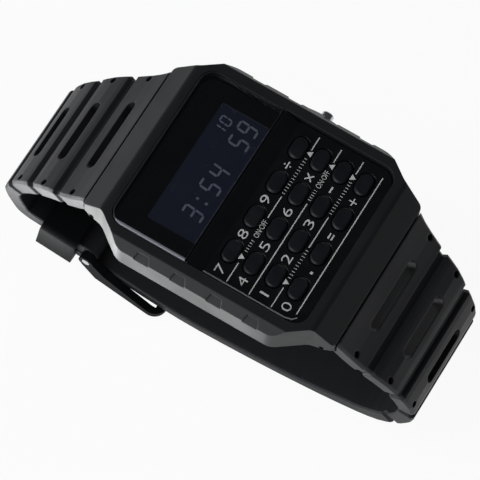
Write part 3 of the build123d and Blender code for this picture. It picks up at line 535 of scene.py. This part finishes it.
# %% Printed legends
def printed(name, text, x, y, width, height):
    """Text as flat print, fitted to a box centred on (x, y)."""
    words = bpy.data.curves.new(name, "FONT")
    words.body = text
    words.resolution_u = 3
    words.offset = -0.006  # thins the strokes
    source = bpy.data.objects.new(name + "_text", words)
    mesh = bpy.data.meshes.new_from_object(source)
    bpy.data.objects.remove(source)
    bpy.data.curves.remove(words)
    xs = [v.co.x for v in mesh.vertices]
    ys = [v.co.y for v in mesh.vertices]
    for v in mesh.vertices:
        u = (v.co.x - min(xs)) / (max(xs) - min(xs)) - 0.5
        t = (v.co.y - min(ys)) / (max(ys) - min(ys)) - 0.5
        v.co = ((x + u * width) * MM, (y + t * height) * MM, legend_z * MM)
    join_case(name, mesh, ink)


ink = finish("legend ink, off-white screen print", "d2d3d0", "dcddda", 0.15, 0.5)
first_x, first_y, step_x, step_y = -12.25, -1.55, 6.49, 3.755
digit_size, one_size, sign_size = (1.4, 1.5), (0.34, 1.5), (1.25, 1.25)
labels = ["7", "8", "9", "÷", "4", "5", "6", "×", "1", "2", "3", "", "0", "", "", "+"]
for n, label in enumerate(labels):
    row, column = divmod(n, 4)
    size = one_size if label == "1" else sign_size if column == 3 else digit_size
    if label:
        printed("label_" + str(n), label, first_x + column * step_x, first_y - row * step_y, *size)
print("labels printed:", sum(1 for label in labels if label))

# %% [markdown]
# The minus, point and equals signs, and the lines between the rows of keys, are
# plain strips. Small triangles point from a line to the key that it belongs to, and
# two places are marked ON and OFF. Rows of fine ticks fill the gaps between. A pale
# line, a painted highlight where the panel's edge catches the light, runs down the
# panel's 9 o'clock side and turns in at its end.

# %% Printed lines and marks
def strip(x0, x1, y, thick):
    """Outline of a straight strip along the rows."""
    return box_ring(x0, x1, y - thick / 2, y + thick / 2)


def triangle(x, y, up):
    """Outline of a small triangle that points up or down."""
    size, half_share = 0.85, 0.62
    half, s = size * half_share, size if up else -size
    return [(x - half, y - s / 2), (x + half, y - s / 2), (x, y + s / 2)]


def ticks(x0, x1, y, count):
    """Outlines of evenly spread upright ticks."""
    thick, tall = 0.1, 0.5
    places = [x0 + (x1 - x0) * (n + 0.5) / count for n in range(count)]
    return [box_ring(a - thick / 2, a + thick / 2, y - tall / 2, y + tall / 2) for a in places]


minus_x, minus_y = first_x + 3 * step_x, first_y - 2 * step_y
point_x, equals_x, low_y = first_x + step_x, first_x + 2 * step_x, first_y - 3 * step_y
half_minus, half_equals, point_drop = 0.55, 0.5, 0.45
signs = [strip(minus_x - half_minus, minus_x + half_minus, minus_y, 0.28)]
signs += [strip(equals_x - half_equals, equals_x + half_equals, low_y + apart, 0.24)
          for apart in (-0.27, 0.27)]
signs += [dot_ring(point_x, low_y - point_drop, dot_size)]
flat_piece("printed_signs", signs, print_z, print_thick, ink)

line_y = (-3.35, -7.15, -10.93, -14.66)
line_thick = 0.17
line_parts = [((-13.5, -10.0), (-1.6, 2.4), (11.2, 13.66)), ((-13.5, 3.4), (11.2, 13.66)),
              ((-13.5, -9.9), (-2.5, 3.2), (11.35, 13.66)), ((-12.55, 12.97),)]
marks = [strip(a, b, y, line_thick) for y, parts in zip(line_y, line_parts) for a, b in parts]
# Triangles: place, line and whether it points up. Ticks: from, to, line and count.
triangles = ((-9.0, 0, False), (10.6, 0, True), (10.55, 1, True), (-9.0, 2, False),
             (10.6, 2, False))
tick_rows = ((-8.1, -5.7, 0, 5), (3.9, 6.1, 1, 5), (2.75, 9.8, 0, 13), (-8.4, -2.8, 2, 10),
             (3.6, 10.0, 2, 12))
marks += [triangle(x, line_y[n], up) for x, n, up in triangles]
marks += [ring for x0, x1, n, count in tick_rows for ring in ticks(x0, x1, line_y[n], count)]
flat_piece("printed_lines", marks, print_z, print_thick, ink)

# The rim line and its dot are a painted highlight, pale colour where the panel's edge catches the
# light.
rim_x, rim_half, rim_lift, rim_dot_y = -13.85, 0.12, 0.05, 1.25
bend = [(0, 1.2), (0, -13.4), (0.3, -14.5), (0.9, -15.1)]
outer = [(rim_x - rim_half + a, b) for a, b in bend]
inner = [(rim_x + rim_half + a, b + rim_lift) for a, b in bend]
panel_rim_highlight = layer_and_highlight_finish("panel rim, painted highlight", "8a8d92", "989ba0", rough=0.25, grain_mm=0.3,
                    specular=0.5)
rim_rings = [outer + inner[::-1], dot_ring(rim_x, rim_dot_y, dot_size)]
flat_piece("panel_rim", rim_rings, print_z, print_thick, panel_rim_highlight)
switch_size = (3.1, 0.85)
printed("label_on_off_left", "ON·OFF", -3.7, line_y[0], *switch_size)
printed("label_on_off_right", "ON·OFF", 8.0, line_y[1], *switch_size)
print("lines and marks printed:", len(marks))

# %% [markdown]
# The floor is a plain white sheet just under the watch. Light Path tells the rays
# that come from the camera, or from a mirror-like surface, from all others. For
# those the sheet is mostly plain white, with only a trace of the watch's shadow,
# and for the others it is an ordinary sheet that bounces light back.

# %% Floor
def floor_sheet(name, share):
    """White sheet: to the camera and to mirrors this share of it is plain white."""
    material, tree, output = new_material(name)
    links = tree.links
    place = add_node(tree, "ShaderNodeTexCoord")
    grain = add_node(tree, "ShaderNodeTexNoise", Scale=per_mm(2.0), Detail=2.0)
    bump = add_node(tree, "ShaderNodeBump", Strength=0.1, Distance=0.02 * MM)
    sheet = add_node(tree, "ShaderNodeBsdfDiffuse", Color=srgb("fbfbfb"))
    white = add_node(tree, "ShaderNodeEmission", Color=srgb("ffffff"), Strength=1.0)
    path = add_node(tree, "ShaderNodeLightPath")
    seen = add_node(tree, "ShaderNodeMath", operation="MAXIMUM")
    most = add_node(tree, "ShaderNodeMath", operation="MULTIPLY")
    most.inputs[1].default_value = share
    mix = add_node(tree, "ShaderNodeMixShader")
    links.new(place.outputs["Object"], grain.inputs["Vector"])
    links.new(grain.outputs["Fac"], bump.inputs["Height"])
    links.new(bump.outputs["Normal"], sheet.inputs["Normal"])
    links.new(path.outputs["Is Camera Ray"], seen.inputs[0])
    links.new(path.outputs["Is Glossy Ray"], seen.inputs[1])
    links.new(seen.outputs["Value"], most.inputs[0])
    links.new(most.outputs["Value"], mix.inputs["Fac"])
    links.new(sheet.outputs["BSDF"], mix.inputs[1])
    links.new(white.outputs["Emission"], mix.inputs[2])
    links.new(mix.outputs["Shader"], output.inputs["Surface"])
    return material


floor_gap = 0.2
floor_z = low[2] - floor_gap * MM
bpy.ops.mesh.primitive_plane_add(size=3.0, location=(0, 0, floor_z))
floor = bpy.context.object
floor.name = "floor"
floor.data.materials.append(floor_sheet("floor, white sheet", 0.93))
print("floor at", round(floor_z / MM, 1), "mm")

# %% [markdown]
# A black watch is lit by what it mirrors. A long soft box stands low at the left of
# the picture and draws bright lines along the walls and edges that face it. A wide
# one above and behind gives the even light, and a weak one at the right finds the
# far side. Two small ones lie on the floor, face up and hidden from the camera, and
# light the slanting walls from below, as a white table does. Overhead the studio is
# dark, so the face stays black. Round the horizon it is pale, most of all at the
# left, but plain white where the camera sees it.

# %% Lights and studio
def soft_box(name, place, size, power, colour="ffffff"):
    """A rectangular area light that points at the watch. Sizes are in metres."""
    light = bpy.data.lights.new(name, "AREA")
    light.shape = "RECTANGLE"
    light.size, light.size_y = size
    light.energy = power
    light.color = srgb(colour)[:3]
    holder = bpy.data.objects.new(name, light)
    bpy.context.collection.objects.link(holder)
    holder.location = place
    holder.rotation_euler = (-Vector(place)).to_track_quat("-Z", "Y").to_euler()
    return holder


soft_box("left strip box", (-0.50, 0.12, 0.17), (0.45, 0.22), 0.95, "f4f7ff")
soft_box("high wide box", (-0.30, 0.35, 0.60), (0.5, 0.5), 2.6)
lamp_z = floor_z + 0.5 * MM
for low_box in (soft_box("low side box", (-0.056, 0.072, lamp_z), (0.08, 0.09), 0.135),
                soft_box("middle side box", (-0.060, 0.012, lamp_z), (0.08, 0.035), 0.023)):
    low_box.rotation_euler = (math.pi, 0, 0)
    low_box.visible_camera = False
soft_box("right strip box", (0.50, 0.08, 0.09), (0.3, 0.12), 0.30)

world = bpy.data.worlds.new("studio")
bpy.context.scene.world = world
world.use_nodes = True
tree = world.node_tree
tree.nodes.clear()
# climb falls from the horizon up, and side grows towards the left.
sky = add_node(tree, "ShaderNodeTexCoord")
axes = add_node(tree, "ShaderNodeSeparateXYZ")
climb = add_node(tree, "ShaderNodeMapRange", From_Min=0.05, From_Max=0.45, To_Min=1.0, To_Max=0.0)
toward = add_node(tree, "ShaderNodeVectorMath", operation="DOT_PRODUCT")
toward.inputs[1].default_value = (-0.99, 0.10, 0.0)
side = add_node(tree, "ShaderNodeMapRange", From_Min=-0.2, From_Max=1.0, To_Min=0.12, To_Max=1.0)
glow = add_node(tree, "ShaderNodeMath", operation="MULTIPLY")
shade = add_node(tree, "ShaderNodeMixRGB", Color1=srgb("3c3e42"), Color2=srgb("ffffff"))
path = add_node(tree, "ShaderNodeLightPath")
seen = add_node(tree, "ShaderNodeMixRGB", Color2=srgb("ffffff"))
studio = add_node(tree, "ShaderNodeBackground", Strength=1.0)
world_output = add_node(tree, "ShaderNodeOutputWorld")
tree.links.new(sky.outputs["Generated"], axes.inputs["Vector"])
tree.links.new(axes.outputs["Z"], climb.inputs["Value"])
tree.links.new(sky.outputs["Generated"], toward.inputs[0])
tree.links.new(toward.outputs["Value"], side.inputs["Value"])
tree.links.new(climb.outputs["Result"], glow.inputs[0])
tree.links.new(side.outputs["Result"], glow.inputs[1])
tree.links.new(glow.outputs["Value"], shade.inputs["Fac"])
tree.links.new(path.outputs["Is Camera Ray"], seen.inputs["Fac"])
tree.links.new(shade.outputs["Color"], seen.inputs["Color1"])
tree.links.new(seen.outputs["Color"], studio.inputs["Color"])
tree.links.new(studio.outputs["Background"], world_output.inputs["Surface"])
print("five soft boxes and a studio that is dark overhead")

# %% [markdown]
# The camera was worked out from places in the photo whose real spots on the watch
# are known, such as key labels and lug holes. It stands half a metre off with a
# long lens, so lines that are parallel on the watch stay nearly parallel. Its three
# axes, right, up and back, are the columns of the matrix that turns it.

# %% Camera
to_camera = Vector((-0.34762, -0.15433, 0.92485)).normalized()
picture_up = Vector((0.78627, 0.48938, 0.3772)).normalized()
camera_data = bpy.data.cameras.new("camera")
camera_data.lens = 250.33
camera_data.sensor_width = 36
camera_data.clip_end = 10
camera = bpy.data.objects.new("camera", camera_data)
bpy.context.collection.objects.link(camera)
picture_right = picture_up.cross(to_camera).normalized()
picture_up = to_camera.cross(picture_right)
turn = Matrix((picture_right, picture_up, to_camera)).transposed().to_4x4()
place = Vector((-177.473, -77.439, 461.001)) * MM
camera.matrix_world = Matrix.Translation(place) @ turn
bpy.context.scene.camera = camera
bpy.context.scene.view_settings.view_transform = "Standard"
print("camera at", [round(v / MM, 1) for v in place], "mm")
